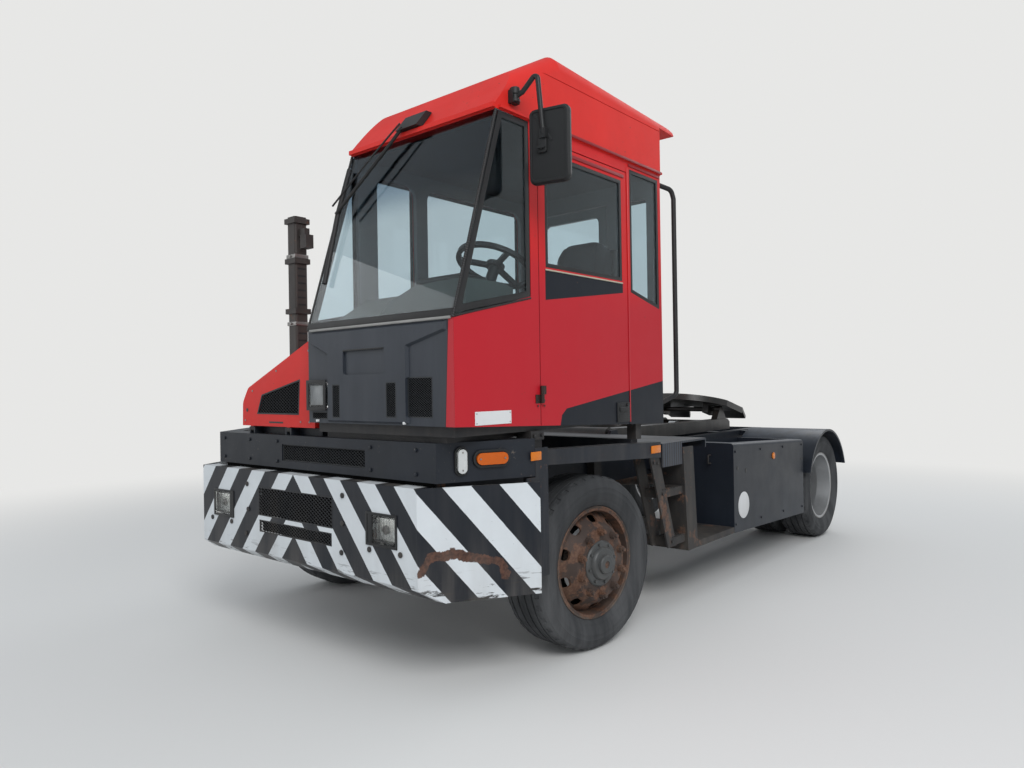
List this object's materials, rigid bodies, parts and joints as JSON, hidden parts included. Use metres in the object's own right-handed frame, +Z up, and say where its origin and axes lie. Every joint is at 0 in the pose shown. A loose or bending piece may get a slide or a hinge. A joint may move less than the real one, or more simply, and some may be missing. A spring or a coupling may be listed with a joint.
{
  "type": "terminal tractor",
  "caption": "Low yard tractor with an offset one-man cab, steered front wheels, twin rear wheels and a fifth wheel on a lifting boom, for shunting trailers in ports.",
  "frame": {"origin": "on the floor, below the middle of the overall box with the mirror; the middle plane of the frame lies 0.104 m to the right of it", "axes": "+X towards the tractor's left side, +Y towards its rear, +Z up"},
  "size_m": [2.748, 5.28, 3.1],
  "materials": {
    "red_paint": "weathered gloss",
    "navy_paint": "weathered satin",
    "grey_paint": "satin",
    "striped_paint": "chipped",
    "black_steel": "greasy",
    "rusty_steel": "rusty",
    "wheel_silver": "satin",
    "wheel_rust": "rusty",
    "tyre": "worn",
    "glass": "clear",
    "lamp_glass": "clear",
    "amber": "gloss",
    "lamp_red": "gloss",
    "black_plastic": "matte",
    "trim_grey": "matte",
    "seat_cloth": "woven",
    "polished_rod": "polished"
  },
  "bodies": {
    "chassis": {"frame": "navy_paint", "bumper": "striped_paint", "front_beam": "navy_paint", "front_grilles": "black_steel", "clear_lamps": "lamp_glass", "amber_lamps": "amber", "arch_beams": "navy_paint", "steps_left": "navy_paint", "box_left": "navy_paint", "tank_right": "navy_paint", "deck": "navy_paint", "rear_fenders": "navy_paint", "engine_block": "rusty_steel", "front_axle": "rusty_steel", "rear_axle": "rusty_steel", "exhaust_stack": "black_steel", "cab_floor": "black_steel", "cab_front_panel": "grey_paint", "cab_wall_left": "red_paint", "cab_wall_right": "red_paint", "cab_wall_rear": "red_paint", "cab_roof": "red_paint", "windshield": "glass", "cab_glass": "glass", "dashboard": "trim_grey", "steering_wheel": "black_plastic", "seat_base": "black_plastic", "seat_cushion": "seat_cloth", "seat_backrest": "seat_cloth", "mirror": "black_plastic", "wiper": "black_steel", "handrail": "black_steel", "rear_lamps": "lamp_red"},
    "door_left": {"door_left": "red_paint", "door_left_glass": "glass"},
    "door_rear": {"door_rear": "red_paint", "door_rear_glass": "glass"},
    "hood": {"hood": "red_paint", "hood_grille": "black_steel"},
    "boom": {"lift_boom": "black_steel"},
    "coupling": {"fifth_wheel": "black_steel"},
    "barrels": {"cylinder_barrels": "black_steel"},
    "rods": {"cylinder_rods": "polished_rod"},
    "knuckle_left": {"knuckle_left": "rusty_steel"},
    "knuckle_right": {"knuckle_right": "rusty_steel"},
    "tie_rod": {"tie_rod": "black_steel"},
    "wheel_front_left": {"tyre_front_left": "tyre", "wheel_front_left": "wheel_rust"},
    "wheel_front_right": {"tyre_front_right": "tyre", "wheel_front_right": "wheel_rust"},
    "wheels_rear_left": {"tyres_rear_left": "tyre", "wheels_rear_left": "wheel_silver"},
    "wheels_rear_right": {"tyres_rear_right": "tyre", "wheels_rear_right": "wheel_silver"}
  },
  "joints": [
    {"name": "door_left_swing", "type": "hinge", "parent": "chassis", "child": "door_left", "pos_m": [1.098, -2.026, 1.9], "axis": [0, 0, -1], "range_deg": [0, 80]},
    {"name": "door_rear_swing", "type": "hinge", "parent": "chassis", "child": "door_rear", "pos_m": [0.143, -0.799, 1.9], "axis": [0, 0, 1], "range_deg": [0, 100]},
    {"name": "hood_open", "type": "hinge", "parent": "chassis", "child": "hood", "pos_m": [-0.439, -2.553, 1.19], "axis": [1, 0, 0], "range_deg": [0, 50]},
    {"name": "boom_lift", "type": "hinge", "parent": "chassis", "child": "boom", "pos_m": [-0.104, -0.173, 1.035], "axis": [1, 0, 0], "range_deg": [0, 12]},
    {"name": "coupling_tilt", "type": "hinge", "parent": "boom", "child": "coupling", "pos_m": [-0.104, 1.807, 1.16], "axis": [1, 0, 0], "range_deg": [0, 28]},
    {"name": "barrels_swing", "type": "hinge", "parent": "chassis", "child": "barrels", "pos_m": [-0.104, 0.427, 0.77], "axis": [1, 0, 0], "range_deg": [-1, 20]},
    {"name": "rods_extend", "type": "slide", "parent": "barrels", "child": "rods", "axis": [0, 0.9487, 0.3162], "range_m": [-0.005, 0.13]},
    {"name": "steer_left", "type": "hinge", "parent": "chassis", "child": "knuckle_left", "pos_m": [0.756, -1.523, 0.463], "axis": [0, 0, 1], "range_deg": [-28.7, 41.3]},
    {"name": "steer_right", "type": "hinge", "parent": "chassis", "child": "knuckle_right", "pos_m": [-0.964, -1.523, 0.463], "axis": [0, 0, 1], "range_deg": [-28.7, 41.3]},
    {"name": "tie_rod_pivot", "type": "hinge", "parent": "knuckle_left", "child": "tie_rod", "pos_m": [0.77904, -1.31427, 0.323], "axis": [0, 0, 1], "range_deg": [-41.3, 28.7]},
    {"name": "spin_front_left", "type": "hinge", "parent": "knuckle_left", "child": "wheel_front_left", "pos_m": [0.756, -1.523, 0.463], "axis": [0.994, -0.1097, 0], "continuous": true},
    {"name": "spin_front_right", "type": "hinge", "parent": "knuckle_right", "child": "wheel_front_right", "pos_m": [-0.964, -1.523, 0.463], "axis": [0.994, -0.1097, 0], "continuous": true},
    {"name": "spin_rear_left", "type": "hinge", "parent": "chassis", "child": "wheels_rear_left", "pos_m": [0.953, 2.127, 0.463], "axis": [1, 0, 0], "continuous": true},
    {"name": "spin_rear_right", "type": "hinge", "parent": "chassis", "child": "wheels_rear_right", "pos_m": [-1.161, 2.127, 0.463], "axis": [1, 0, 0], "continuous": true}
  ],
  "couplings": [
    {"joint": "steer_right", "follows": "steer_left", "ratio": 1},
    {"joint": "tie_rod_pivot", "follows": "steer_left", "ratio": -1},
    {"joint": "barrels_swing", "follows": "boom_lift", "ratio": 1.5064},
    {"joint": "rods_extend", "follows": "boom_lift", "m_per_rad": 0.49879}
  ]
}
